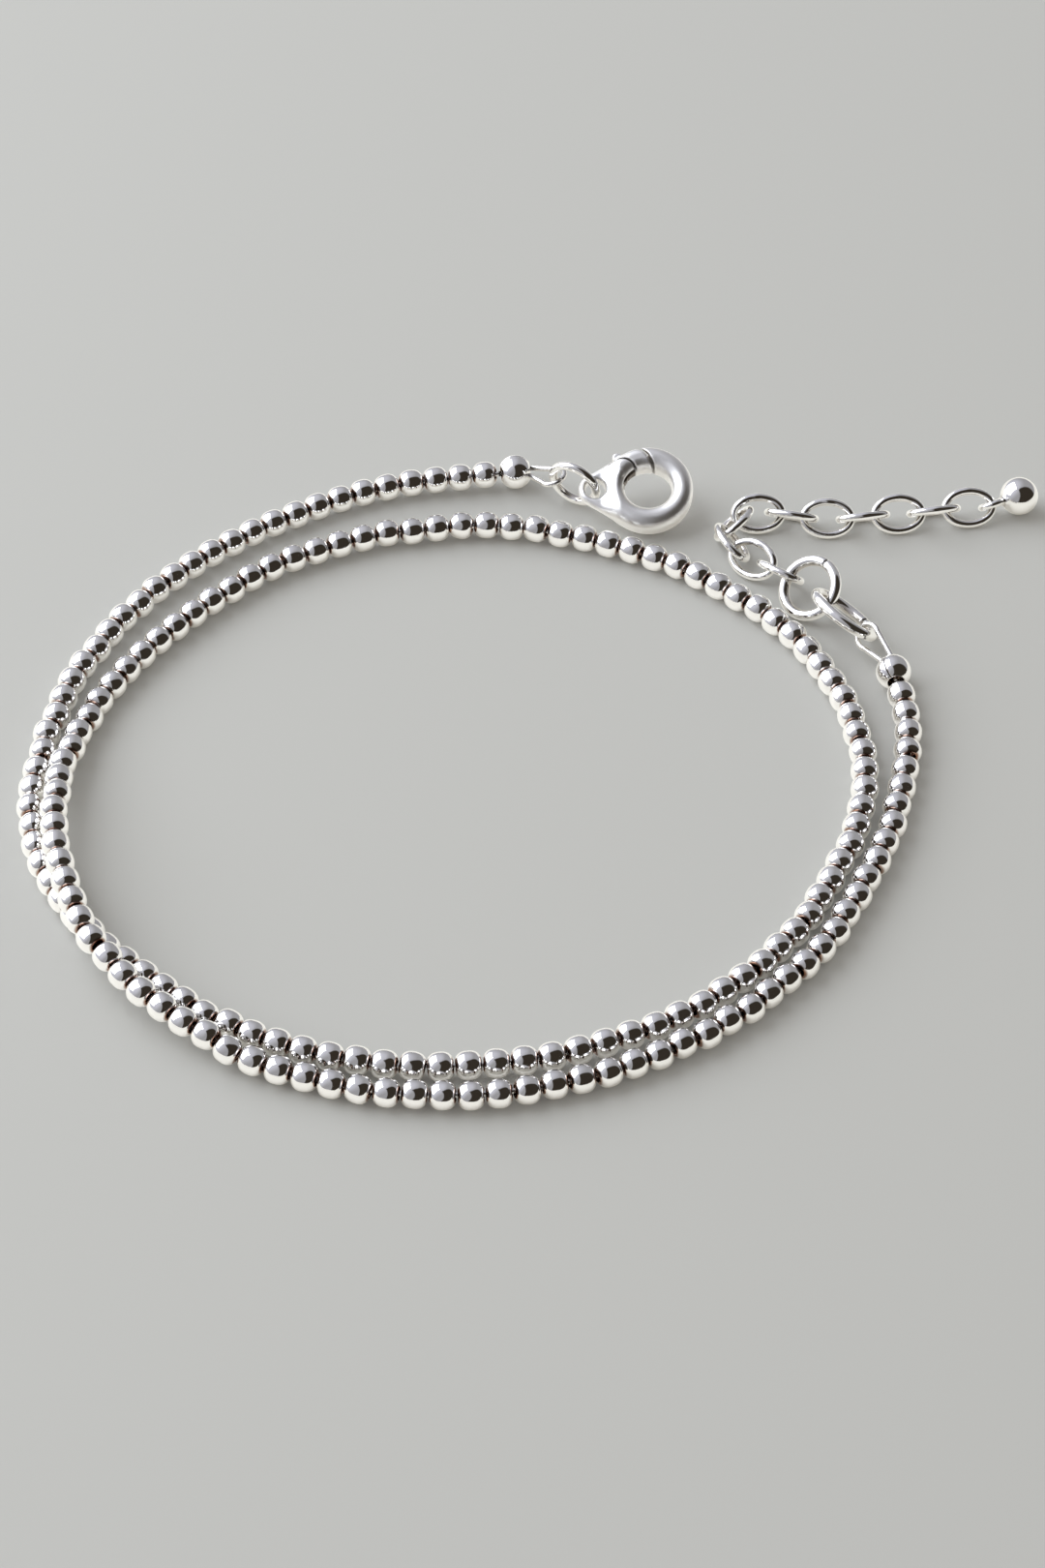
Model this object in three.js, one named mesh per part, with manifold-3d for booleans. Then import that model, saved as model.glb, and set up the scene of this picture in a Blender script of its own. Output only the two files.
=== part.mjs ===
// Wrap bracelet lying open on a flat surface. A long string of small round silver beads makes almost two
// turns. One end carries a lobster clasp, the other two jump rings, an extension chain and an end ball.
// Millimetres, +Z up, the surface is z = 0. The string is laid out in polar form about the loop's centre.

import * as THREE from 'three';
import { mergeVertices } from 'three/addons/utils/BufferGeometryUtils.js';
import Module from 'manifold-3d';

// Place of the loop's centre, chosen so that the whole bracelet's box is centred on the origin.
const LOOP_CENTRE = { x: -4.12, y: -2.94 };

// Beads.
const BEAD_DIAMETER = 2.0;
const BEAD_PITCH = 1.84;
const BEAD_SIDES = 10;
const FACET_SWELL = 1.03;
const SHOULDER_OFFSET = 0.38;
const NECK_RADIUS = 0.42;
const HALF_GAP_FACE_OFFSET = 0.77;
const HALF_GAP_FACE_RADIUS = 0.6;
const WIRE_RADIUS = 0.2;
const FLAT_WITHIN = 0.02;

// Crimp covers on the ends of the string.
const COVER_RADIUS = 1.25;
const COVER_BORE_RADIUS = 0.68;
const COVER_SIDES = 12;
const COVER_ARC_STEPS = 6;
const COVER_TO_BEAD = 2.3;
const WIRE_REACH_IN_COVER = 0.2;

// Rings, loops and links: outside length and width, and the thickness of their wire.
const RING_GAP = 0.25;
const LINK = { length: 4.1, width: 3.0, wire: 0.55 };
const CLASP_RING = { length: 4.2, width: 4.2, wire: 0.65 };
const CHAIN_RING_1 = { length: 6.0, width: 4.8, wire: 0.8 };
const CHAIN_RING_2 = { length: 5.0, width: 5.0, wire: 0.8 };
const WIRE_LOOP = { length: 2.4, width: 2.2, wire: 0.4 };
const STEM_RADIUS = 0.22;
const WIRE_SIDES = 6;
const RING_SEGMENTS = 16;

// Ball on the end of the chain, and its eye.
const BALL_RADIUS = 1.4;
const BALL_ROWS = 8;
const BALL_EYE = { length: 2.1, width: 2.0, wire: 0.5 };
const EYE_SINK = 0.25;

// Lobster clasp, seen on its face: the claw's ring is round the local origin, the tail eye is on -X and the
// lever on +Y.
const CLASP_PLACE = { x: 11.85, y: 30.2, z: 2.22 };
const CLASP_TILT = 24;
const CLASP_THICKNESS = 2.2;
const CLASP_BEVEL = 0.4;
const BEVEL_STEPS = 2;
const CLAW_RADIUS = 3.3;
const CLAW_HOLE = { x: 1.75, y: 1.6 };
const TAIL_X = -3.9;
const TAIL_RADIUS = 1.25;
const TAIL_HOLE_RADIUS = 0.75;
const TAIL_THICKNESS = 1.0;
const TAIL_THIN_FROM_X = -3.05;
const PIVOT = { x: -2.1, y: 1.0 };
const PIN_RADIUS = 0.22;
const PIN_HOLE_RADIUS = 0.36;
const PIN_LENGTH = 1.9;
const CHEEK_RADIUS = 1.2;
const SLOT_WIDTH = 1.3;
const SLOT_LEFT_X = -2.85;
const SLOT_BOTTOM_Y = -0.15;
const LEVER_THICKNESS = 0.8;
const LEVER_ROOT_RADIUS = 0.62;
const LEVER_REACH = 2.45;
const BAR_FROM_PIVOT = 1.36;
const BAR_THICKNESS = 1.9;
const BAR_BEVEL = 0.3;
const BEAK_REACH = 2.65;
const GATE_ANGLES = { from: -20, to: 112 };
const LEVER_ANGLES = { from: -5, to: 100 };
const THUMB_TAB = { angle: 96, distance: 1.55, radius: 0.36 };
const CURVE_STEPS = 10;

// Route of the string from the chain's crimp cover to the clasp's: the bearing about the loop's centre in
// degrees, the radius to the middle of the beads, and the lift where one turn climbs over the other.
const STRING_ROUTE = [
  { bearing: 22.3, radius: 31.3, lift: 0.25 },
  { bearing: 12, radius: 30.3, lift: 0 },
  { bearing: -2, radius: 28.6, lift: 0 },
  { bearing: -28, radius: 27.0, lift: 0 },
  { bearing: -50, radius: 26.75, lift: 0 },
  { bearing: -75, radius: 27.1, lift: 0 },
  { bearing: -98, radius: 28.0, lift: 0 },
  { bearing: -119, radius: 28.95, lift: 0.1 },
  { bearing: -130, radius: 29.5, lift: 0.7 },
  { bearing: -141, radius: 30.1, lift: 1.35 },
  { bearing: -152, radius: 30.4, lift: 2.0 },
  { bearing: -163, radius: 30.05, lift: 2.1 },
  { bearing: -173, radius: 29.7, lift: 1.75 },
  { bearing: -183, radius: 29.4, lift: 0.9 },
  { bearing: -194, radius: 29.0, lift: 0.1 },
  { bearing: -210, radius: 28.35, lift: 0 },
  { bearing: -240, radius: 28.0, lift: 0 },
  { bearing: -270, radius: 27.7, lift: 0 },
  { bearing: -300, radius: 27.1, lift: 0 },
  { bearing: -330, radius: 27.1, lift: 0 },
  { bearing: -357, radius: 26.4, lift: 0 },
  { bearing: -388, radius: 24.8, lift: 0 },
  { bearing: -415, radius: 24.5, lift: 0 },
  { bearing: -440, radius: 24.75, lift: 0 },
  { bearing: -465, radius: 25.95, lift: 0 },
  { bearing: -487, radius: 27.35, lift: 0 },
  { bearing: -500, radius: 28.15, lift: 0 },
  { bearing: -512, radius: 29.4, lift: 0 },
  { bearing: -524, radius: 30.75, lift: 0 },
  { bearing: -538, radius: 31.4, lift: 0 },
  { bearing: -565, radius: 31.5, lift: 0 },
  { bearing: -590, radius: 31.9, lift: 0 },
  { bearing: -615, radius: 32.8, lift: 0 },
  { bearing: -633.5, radius: 33.5, lift: 0.25 },
];

// The chain's end, from the bearing of its wire loop on: how each ring and link lies. The heading is in plan
// in degrees, the roll is about that heading, the slack shortens a link's span where the chain lies loose,
// and the height is that of the bearing at the piece's far end.
const CHAIN_START = { x: 27.0, y: 15.7, z: 1.6 };
const CHAIN_LAY = [
  { name: 'jump_ring_chain_1', size: CHAIN_RING_1, heading: 128, roll: 40, slack: 0, height: 1.85 },
  { name: 'jump_ring_chain_2', size: CHAIN_RING_2, heading: 134, roll: -40, slack: 0, height: 1.68 },
  { name: 'chain_link_01', size: LINK, heading: 136, roll: 45, slack: 0.1, height: 1.25 },
  { name: 'chain_link_02', size: LINK, heading: 142, roll: -45, slack: 0.2, height: 1.16 },
  { name: 'chain_link_03', size: LINK, heading: 112, roll: 45, slack: 0.4, height: 1.16 },
  { name: 'chain_link_04', size: LINK, heading: 57, roll: -45, slack: 0.4, height: 1.16 },
  { name: 'chain_link_05', size: LINK, heading: 4, roll: 45, slack: 0.4, height: 1.16 },
  { name: 'chain_link_06', size: LINK, heading: -12, roll: -45, slack: 0.1, height: 1.16 },
  { name: 'chain_link_07', size: LINK, heading: -2, roll: 45, slack: 0.1, height: 1.16 },
  { name: 'chain_link_08', size: LINK, heading: 9, roll: -45, slack: 0.1, height: 1.16 },
  { name: 'chain_link_09', size: LINK, heading: 5, roll: 45, slack: 0.1, height: 1.16 },
  { name: 'chain_link_10', size: LINK, heading: 10, roll: -45, slack: 0.1, height: 1.16 },
  { name: 'chain_link_11', size: LINK, heading: 6, roll: 45, slack: 0.1, height: 1.16 },
];
const BALL_HEADING = 20;
const EYE_ROLL = -45;
const CHAIN_LOOP_ROLL = -50;

// Jump ring of the clasp: the direction from the string to the tail eye in plan, its roll, and how far it
// is pushed through the eye.
const CLASP_RING_HEADING = -28;
const CLASP_RING_ROLL = 98;
const CLASP_RING_SHIFT = 0.05;

// Fineness of the curve's length table, and the distance within which vertices are welded for a cut.
const CURVE_SAMPLES = 4000;
const WELD_DISTANCE = 1e-4;

const wasm = await Module();
wasm.setup();

const UP = new THREE.Vector3(0, 0, 1);
const radians = THREE.MathUtils.degToRad;
const silver = { color: 0xd9d7d2, metalness: 1, roughness: 0.18 };
const steelWire = { color: 0xb9b8b4, metalness: 1, roughness: 0.3 };

const group = new THREE.Group();
group.position.set(LOOP_CENTRE.x, LOOP_CENTRE.y, 0);

function addPiece(parent, name, geometry, finish = silver) {
  geometry.computeVertexNormals();
  const mesh = new THREE.Mesh(geometry, new THREE.MeshStandardMaterial(finish));
  mesh.name = name;
  parent.add(mesh);
  return mesh;
}

// Booleans: a closed geometry to a solid, and a solid back to a geometry.
function toSolid(geometry) {
  const bare = geometry.clone();
  for (const name of Object.keys(bare.attributes)) {
    if (name !== 'position') bare.deleteAttribute(name);
  }
  const merged = mergeVertices(bare, WELD_DISTANCE);
  return new wasm.Manifold(new wasm.Mesh({
    numProp: 3,
    vertProperties: new Float32Array(merged.attributes.position.array),
    triVerts: new Uint32Array(merged.index.array),
  }));
}

function toGeometry(solid) {
  const mesh = solid.getMesh();
  const geometry = new THREE.BufferGeometry();
  geometry.setAttribute('position', new THREE.BufferAttribute(mesh.vertProperties, 3));
  geometry.setIndex(new THREE.BufferAttribute(mesh.triVerts, 1));
  return geometry;
}

// Closed body through a row of rings, each with its own centre, side and up directions and radius.
function ringLoft(rings, sides) {
  const positions = [];
  const indices = [];
  for (const ring of rings) {
    for (let k = 0; k < sides; k += 1) {
      const angle = (2 * Math.PI * k) / sides;
      const point = ring.centre.clone();
      point.addScaledVector(ring.side, ring.radius * Math.cos(angle));
      point.addScaledVector(ring.up, ring.radius * Math.sin(angle));
      positions.push(point.x, point.y, point.z);
    }
  }
  for (let row = 0; row + 1 < rings.length; row += 1) {
    for (let k = 0; k < sides; k += 1) {
      const next = (k + 1) % sides;
      const a = row * sides + k;
      const b = row * sides + next;
      indices.push(a, b, b + sides, a, b + sides, a + sides);
    }
  }
  const last = (rings.length - 1) * sides;
  for (let k = 1; k + 1 < sides; k += 1) {
    indices.push(0, k + 1, k);
    indices.push(last, last + k, last + k + 1);
  }
  const geometry = new THREE.BufferGeometry();
  geometry.setAttribute('position', new THREE.Float32BufferAttribute(positions, 3));
  geometry.setIndex(indices);
  return geometry;
}

// The string: beads at an even pitch on a smooth curve through the route.
const facetAngle = Math.PI / BEAD_SIDES;
const shoulderRadius = (BEAD_DIAMETER / 2) * FACET_SWELL;
const stringHeight = shoulderRadius * Math.cos(facetAngle);

const routePoints = STRING_ROUTE.map(({ bearing, radius, lift }) => new THREE.Vector3(
  radius * Math.cos(radians(bearing)),
  radius * Math.sin(radians(bearing)),
  stringHeight + lift,
));
const stringCurve = new THREE.CatmullRomCurve3(routePoints);
stringCurve.arcLengthDivisions = CURVE_SAMPLES;
const stringLength = stringCurve.getLength();
const beadCount = Math.round((stringLength - 2 * COVER_TO_BEAD) / BEAD_PITCH) + 1;
const beadPitch = (stringLength - 2 * COVER_TO_BEAD) / (beadCount - 1);

function stringFrame(distance) {
  const u = THREE.MathUtils.clamp(distance / stringLength, 0, 1);
  const centre = stringCurve.getPointAt(u);
  const along = stringCurve.getTangentAt(u);
  if (centre.z <= stringHeight + FLAT_WITHIN) {
    centre.z = stringHeight;
    along.setZ(0).normalize();
  }
  const side = new THREE.Vector3().crossVectors(UP, along).normalize();
  const up = new THREE.Vector3().crossVectors(along, side);
  return { centre, along, side, up };
}

function stringRing(frame, offset, radius) {
  const centre = frame.centre.clone().addScaledVector(frame.along, offset);
  return { centre, side: frame.side, up: frame.up, radius };
}

function beadRun(firstBead, lastBead) {
  const rings = [];
  const wireStart = COVER_TO_BEAD - COVER_RADIUS + WIRE_REACH_IN_COVER;
  for (let i = firstBead; i <= lastBead; i += 1) {
    const distance = COVER_TO_BEAD + i * beadPitch;
    const frame = stringFrame(distance);
    if (i === 0) {
      rings.push(stringRing(frame, -wireStart, WIRE_RADIUS));
      rings.push(stringRing(frame, -beadPitch / 2, WIRE_RADIUS));
    } else if (i === firstBead) {
      rings.push(stringRing(frame, -HALF_GAP_FACE_OFFSET, HALF_GAP_FACE_RADIUS));
    }
    rings.push(stringRing(frame, -SHOULDER_OFFSET, shoulderRadius));
    rings.push(stringRing(frame, SHOULDER_OFFSET, shoulderRadius));
    if (i < lastBead) {
      rings.push(stringRing(stringFrame(distance + beadPitch / 2), 0, NECK_RADIUS));
    } else if (i === beadCount - 1) {
      rings.push(stringRing(frame, beadPitch / 2, WIRE_RADIUS));
      rings.push(stringRing(frame, wireStart, WIRE_RADIUS));
    } else {
      rings.push(stringRing(frame, HALF_GAP_FACE_OFFSET, HALF_GAP_FACE_RADIUS));
    }
  }
  return ringLoft(rings, BEAD_SIDES);
}

const middleBead = Math.floor(beadCount / 2);
addPiece(group, 'bead_string_chain_half', beadRun(0, middleBead - 1));
addPiece(group, 'bead_string_clasp_half', beadRun(middleBead, beadCount - 1));

// Crimp covers: balls bored through along the string.
function coverGeometry() {
  const rimAngle = Math.asin(COVER_BORE_RADIUS / COVER_RADIUS);
  const profile = [];
  for (let step = 0; step <= COVER_ARC_STEPS; step += 1) {
    const angle = rimAngle + ((Math.PI - 2 * rimAngle) * step) / COVER_ARC_STEPS;
    profile.push(new THREE.Vector2(COVER_RADIUS * Math.sin(angle), -COVER_RADIUS * Math.cos(angle)));
  }
  profile.push(profile[0].clone());
  return new THREE.LatheGeometry(profile, COVER_SIDES);
}

function addCover(name, distance) {
  const frame = stringFrame(distance);
  const cover = addPiece(group, name, toGeometry(toSolid(coverGeometry())));
  cover.position.copy(frame.centre);
  cover.position.z = COVER_RADIUS;
  cover.quaternion.setFromUnitVectors(new THREE.Vector3(0, 1, 0), frame.along);
  return { centre: cover.position, along: frame.along };
}

const chainCover = addCover('crimp_cover_chain', 0);
const claspCover = addCover('crimp_cover_clasp', stringLength);

// A round or oval ring of wire in the XY plane, its length along X.
function ringGeometry({ length, width, wire }) {
  const ring = new THREE.TorusGeometry((width - wire) / 2, wire / 2, WIRE_SIDES, RING_SEGMENTS);
  const stretch = (length - width) / 2;
  const position = ring.attributes.position;
  for (let i = 0; i < position.count; i += 1) {
    const angle = Math.atan2(position.getY(i), position.getX(i));
    position.setX(i, position.getX(i) + stretch * Math.cos(angle));
  }
  return ring;
}

// Distance between the two places where a ring's neighbours bear on the inside of its ends.
function ringSpan({ length, wire }) {
  return length - 2 * wire - RING_GAP;
}

// Stands a ring between two points, rolled about the line that joins them.
function placeBetween(mesh, start, end, rollDegrees) {
  const along = new THREE.Vector3().subVectors(end, start).normalize();
  const level = new THREE.Vector3().crossVectors(UP, along).normalize();
  const rise = new THREE.Vector3().crossVectors(along, level);
  const across = level.multiplyScalar(Math.cos(radians(rollDegrees)));
  across.addScaledVector(rise, Math.sin(radians(rollDegrees)));
  const face = new THREE.Vector3().crossVectors(along, across);
  mesh.quaternion.setFromRotationMatrix(new THREE.Matrix4().makeBasis(along, across, face));
  mesh.position.addVectors(start, end).multiplyScalar(0.5);
}

function addRing(name, size, start, end, rollDegrees) {
  const ring = addPiece(group, name, toGeometry(toSolid(ringGeometry(size))));
  placeBetween(ring, start, end, rollDegrees);
}

// Beading wire: a loop with a stem that runs into the crimp cover. The loop's far end holds the ring.
function addWireLoop(name, cover, side, bearing, rollDegrees) {
  const mouth = Math.sqrt(COVER_RADIUS ** 2 - COVER_BORE_RADIUS ** 2);
  const start = cover.centre.clone().addScaledVector(cover.along, side * (mouth - WIRE_REACH_IN_COVER));
  const reach = start.distanceTo(bearing) + WIRE_LOOP.wire + RING_GAP / 2;
  const stemLength = reach - WIRE_LOOP.length + WIRE_LOOP.wire;
  const stem = new THREE.CylinderGeometry(STEM_RADIUS, STEM_RADIUS, stemLength, WIRE_SIDES);
  stem.rotateZ(Math.PI / 2);
  stem.translate(stemLength / 2 - reach / 2, 0, 0);
  const loop = ringGeometry(WIRE_LOOP);
  loop.translate(reach / 2 - WIRE_LOOP.length / 2, 0, 0);
  const mesh = addPiece(group, name, toGeometry(toSolid(stem).add(toSolid(loop))), steelWire);
  const direction = new THREE.Vector3().subVectors(bearing, start).normalize();
  placeBetween(mesh, start, start.clone().addScaledVector(direction, reach), rollDegrees);
}

// The clasp's half: its tail eye gives the place of the jump ring, and that ring the end of the loop.
const tailEye = new THREE.Vector3(CLASP_PLACE.x + TAIL_X, CLASP_PLACE.y, CLASP_PLACE.z);
const heading = new THREE.Vector3(1, 0, 0).applyAxisAngle(UP, radians(CLASP_RING_HEADING));
const ringMiddle = (CLASP_RING.length - CLASP_RING.wire) / 2;
const ringCentre = tailEye.clone().addScaledVector(heading, CLASP_RING_SHIFT - ringMiddle);
const halfSpan = ringSpan(CLASP_RING) / 2;
const ringStart = ringCentre.clone().addScaledVector(heading, -halfSpan);
const ringEnd = ringCentre.clone().addScaledVector(heading, halfSpan);
addRing('jump_ring_clasp', CLASP_RING, ringStart, ringEnd, CLASP_RING_ROLL);
addWireLoop('wire_loop_clasp', claspCover, 1, ringStart, CLASP_RING_ROLL - 90);

// The chain's half: each piece spans from one bearing point to the next.
function bearingAfter(from, span, headingDegrees, height) {
  const rise = height - from.z;
  const run = Math.sqrt(span ** 2 - rise ** 2);
  const x = from.x + run * Math.cos(radians(headingDegrees));
  const y = from.y + run * Math.sin(radians(headingDegrees));
  return new THREE.Vector3(x, y, height);
}

let bearing = new THREE.Vector3(CHAIN_START.x, CHAIN_START.y, CHAIN_START.z);
addWireLoop('wire_loop_chain', chainCover, -1, bearing, CHAIN_LOOP_ROLL);

for (const { name, size, heading: turn, roll, slack, height } of CHAIN_LAY) {
  const next = bearingAfter(bearing, ringSpan(size) - slack, turn, height);
  addRing(name, size, bearing, next, roll);
  bearing = next;
}

// End ball with its soldered eye, which hangs in the last link.
const eyeLength = BALL_EYE.length - BALL_EYE.wire - RING_GAP / 2 - EYE_SINK;
const ballReach = eyeLength + BALL_RADIUS;
const ballCentre = bearingAfter(bearing, ballReach, BALL_HEADING, BALL_RADIUS);
const eye = ringGeometry(BALL_EYE);
eye.translate(-BALL_RADIUS - BALL_EYE.length / 2 + EYE_SINK, 0, 0);
const ballSphere = new THREE.SphereGeometry(BALL_RADIUS, COVER_SIDES, BALL_ROWS);
const endBall = addPiece(group, 'end_ball', toGeometry(toSolid(ballSphere).add(toSolid(eye))));
placeBetween(endBall, bearing, ballCentre.clone().multiplyScalar(2).sub(bearing), EYE_ROLL);

// Lobster clasp: plates cut from a teardrop outline, in a group tilted as the clasp lies.
const clasp = new THREE.Group();
clasp.position.set(CLASP_PLACE.x, CLASP_PLACE.y, CLASP_PLACE.z);
clasp.rotation.x = radians(CLASP_TILT);
group.add(clasp);

function teardrop() {
  const tangent = Math.acos((CLAW_RADIUS - TAIL_RADIUS) / -TAIL_X);
  const outline = new THREE.Shape();
  outline.absarc(0, 0, CLAW_RADIUS, tangent - Math.PI, Math.PI - tangent, false);
  outline.absarc(TAIL_X, 0, TAIL_RADIUS, Math.PI - tangent, Math.PI + tangent, false);
  const claw = new THREE.Path();
  claw.absellipse(0, 0, CLAW_HOLE.x, CLAW_HOLE.y, 0, 2 * Math.PI, true, 0);
  outline.holes.push(claw);
  return outline;
}

function plate(shape, thickness, bevel = 0) {
  const options = { depth: thickness - 2 * bevel, curveSegments: CURVE_STEPS, bevelEnabled: bevel > 0 };
  if (bevel > 0) {
    options.bevelThickness = bevel;
    options.bevelSize = bevel;
    options.bevelOffset = -bevel;
    options.bevelSegments = BEVEL_STEPS;
  }
  const geometry = new THREE.ExtrudeGeometry(shape, options);
  geometry.translate(0, 0, -thickness / 2 + bevel);
  return toSolid(geometry);
}

function sector(innerRadius, outerRadius, { from, to }) {
  const shape = new THREE.Shape();
  shape.absarc(PIVOT.x, PIVOT.y, outerRadius, radians(from), radians(to), false);
  if (innerRadius > 0) {
    shape.absarc(PIVOT.x, PIVOT.y, innerRadius, radians(to), radians(from), true);
  } else {
    shape.lineTo(PIVOT.x, PIVOT.y);
  }
  return shape;
}

function disc(x, y, radius, thickness) {
  const geometry = new THREE.CylinderGeometry(radius, radius, thickness, COVER_SIDES);
  geometry.rotateX(Math.PI / 2);
  geometry.translate(x, y, 0);
  return toSolid(geometry);
}

function block(x0, x1, y0, y1, z0, z1) {
  const geometry = new THREE.BoxGeometry(x1 - x0, y1 - y0, z1 - z0);
  geometry.translate((x0 + x1) / 2, (y0 + y1) / 2, (z0 + z1) / 2);
  return toSolid(geometry);
}

const clear = 2 * CLASP_THICKNESS;
const tailHalf = TAIL_THICKNESS / 2;
const slotHalf = SLOT_WIDTH / 2;
const tailLeft = TAIL_X - 2 * TAIL_RADIUS;
const hook = plate(teardrop(), CLASP_THICKNESS, CLASP_BEVEL)
  .subtract(plate(sector(CHEEK_RADIUS, BEAK_REACH, GATE_ANGLES), clear))
  .subtract(block(SLOT_LEFT_X, 0, SLOT_BOTTOM_Y, 2 * CLAW_RADIUS, -slotHalf, slotHalf))
  .subtract(block(tailLeft, TAIL_THIN_FROM_X, -CLAW_RADIUS, CLAW_RADIUS, tailHalf, clear))
  .subtract(block(tailLeft, TAIL_THIN_FROM_X, -CLAW_RADIUS, CLAW_RADIUS, -clear, -tailHalf))
  .subtract(disc(TAIL_X, 0, TAIL_HOLE_RADIUS, clear))
  .add(disc(PIVOT.x, PIVOT.y, PIN_RADIUS, PIN_LENGTH));
addPiece(clasp, 'clasp_body', toGeometry(hook));

const tabX = PIVOT.x + THUMB_TAB.distance * Math.cos(radians(THUMB_TAB.angle));
const tabY = PIVOT.y + THUMB_TAB.distance * Math.sin(radians(THUMB_TAB.angle));
const lever = plate(teardrop(), LEVER_THICKNESS)
  .intersect(plate(sector(0, LEVER_REACH, LEVER_ANGLES), clear))
  .add(disc(PIVOT.x, PIVOT.y, LEVER_ROOT_RADIUS, LEVER_THICKNESS))
  .add(plate(teardrop(), BAR_THICKNESS, BAR_BEVEL)
    .intersect(plate(sector(BAR_FROM_PIVOT, LEVER_REACH, LEVER_ANGLES), clear)))
  .add(disc(tabX, tabY, THUMB_TAB.radius, LEVER_THICKNESS))
  .subtract(disc(PIVOT.x, PIVOT.y, PIN_HOLE_RADIUS, clear));
addPiece(clasp, 'clasp_lever', toGeometry(lever));

export default group;
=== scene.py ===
import math

import bpy
import numpy as np
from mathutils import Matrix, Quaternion, Vector


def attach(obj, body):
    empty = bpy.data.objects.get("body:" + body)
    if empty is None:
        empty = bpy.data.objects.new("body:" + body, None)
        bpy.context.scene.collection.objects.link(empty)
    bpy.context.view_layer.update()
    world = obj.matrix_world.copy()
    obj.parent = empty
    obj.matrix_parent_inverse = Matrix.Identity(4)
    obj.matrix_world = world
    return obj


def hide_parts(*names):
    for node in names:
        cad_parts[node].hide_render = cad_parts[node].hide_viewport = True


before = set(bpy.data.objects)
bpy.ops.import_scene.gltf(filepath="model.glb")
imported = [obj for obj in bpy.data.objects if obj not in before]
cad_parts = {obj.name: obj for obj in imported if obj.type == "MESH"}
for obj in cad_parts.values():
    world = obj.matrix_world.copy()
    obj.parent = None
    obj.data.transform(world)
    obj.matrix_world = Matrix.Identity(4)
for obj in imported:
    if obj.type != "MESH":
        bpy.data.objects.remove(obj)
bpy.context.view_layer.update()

# The view. A long lens looks down on the bracelet from the front at 45 degrees, so that the far side of
# the loop is only a little smaller than the near side. All the sizes below are millimetres of the real
# bracelet.
MM = 0.001
LENS_LENGTH = 105.0
CAMERA_DISTANCE = 317.5
CAMERA_ELEVATION = math.radians(45)
CAMERA_AIM = Vector((-1.54, -2.11, 1.0))
CAMERA_NEAR = 10.0

camera_data = bpy.data.cameras.new("camera")
camera_data.lens = LENS_LENGTH
camera_data.clip_start = CAMERA_NEAR * MM
camera = bpy.data.objects.new("camera", camera_data)
camera_back = Vector((0, -math.cos(CAMERA_ELEVATION), math.sin(CAMERA_ELEVATION)))
camera.location = (CAMERA_AIM + camera_back * CAMERA_DISTANCE) * MM
camera.rotation_euler = (math.pi / 2 - CAMERA_ELEVATION, 0, 0)
bpy.context.scene.collection.objects.link(camera)
bpy.context.scene.camera = camera

# The beads. Small round beads of sheet silver, each drawn into a seamless ball with full sides and a
# turned-in rim at both ends of its hole, are polished bright and threaded close together. Each sits a
# little askew on the wire.
LOOP_CENTRE = np.array((-4.12, -2.94, 0.0))
STRING_HEIGHT = 0.98
FLAT_WITHIN = 0.02
COVER_TO_BEAD = 2.3
BEAD_PITCH = 1.84
BEAD_RADIUS = 0.98
BEAD_END = 0.845
BEAD_END_RADIUS = 0.52
BEAD_FULLNESS = 2.5
BEAD_ARC_STEPS = 18
BEAD_SEGMENTS = 28
HOLE_RADIUS = 0.36
HOLE_EDGE = 0.01
# Turned-in rim of the hole: distance along the bead and radius.
BEAD_RIM = ((0.868, 0.455), (0.866, 0.418), (0.84, 0.38), (0.79, HOLE_RADIUS))
# How far along a bead from its middle the polishing cloth reaches. Beyond it the bead darkens to its
# ends, with tarnishing and with painted shade where it meets its neighbours.
END_DARKENING_START = 0.7
# Unevenness from bead to bead, as standard deviations, and how many of them a shift or a size may reach.
BEAD_TILT = 0.08
BEAD_SHIFT = 0.065
BEAD_SHIFT_LIMIT = 1.6
BEAD_LIFT = 0.012
BEAD_SPREAD = 0.006
BEAD_SPREAD_LIMITS = (-1.5, 1)
BEAD_SEED = 175
CURVE_SAMPLES = 200
TANGENT_STEP = 0.05
# Route of the string from the chain's end to the clasp's end, about the middle of the loop: bearing in
# degrees, radius, and lift where one turn climbs over the other.
STRING_ROUTE = (
    (22.3, 31.3, 0.25), (12, 30.3, 0), (-2, 28.6, 0), (-28, 27.0, 0), (-50, 26.75, 0), (-75, 27.1, 0),
    (-98, 28.0, 0), (-119, 28.95, 0.1), (-130, 29.5, 0.7), (-141, 30.1, 1.35), (-152, 30.4, 2.0),
    (-163, 30.05, 2.1), (-173, 29.7, 1.75), (-183, 29.4, 0.9), (-194, 29.0, 0.1), (-210, 28.35, 0),
    (-240, 28.0, 0), (-270, 27.7, 0), (-300, 27.1, 0), (-330, 27.1, 0), (-357, 26.4, 0), (-388, 24.8, 0),
    (-415, 24.5, 0), (-440, 24.75, 0), (-465, 25.95, 0), (-487, 27.35, 0), (-500, 28.15, 0),
    (-512, 29.4, 0), (-524, 30.75, 0), (-538, 31.4, 0), (-565, 31.5, 0), (-590, 31.9, 0), (-615, 32.8, 0),
    (-633.5, 33.5, 0.25),
)
UP = np.array((0.0, 0.0, 1.0))


def unit(vector):
    """The same direction with a length of 1."""
    return vector / np.linalg.norm(vector)


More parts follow.
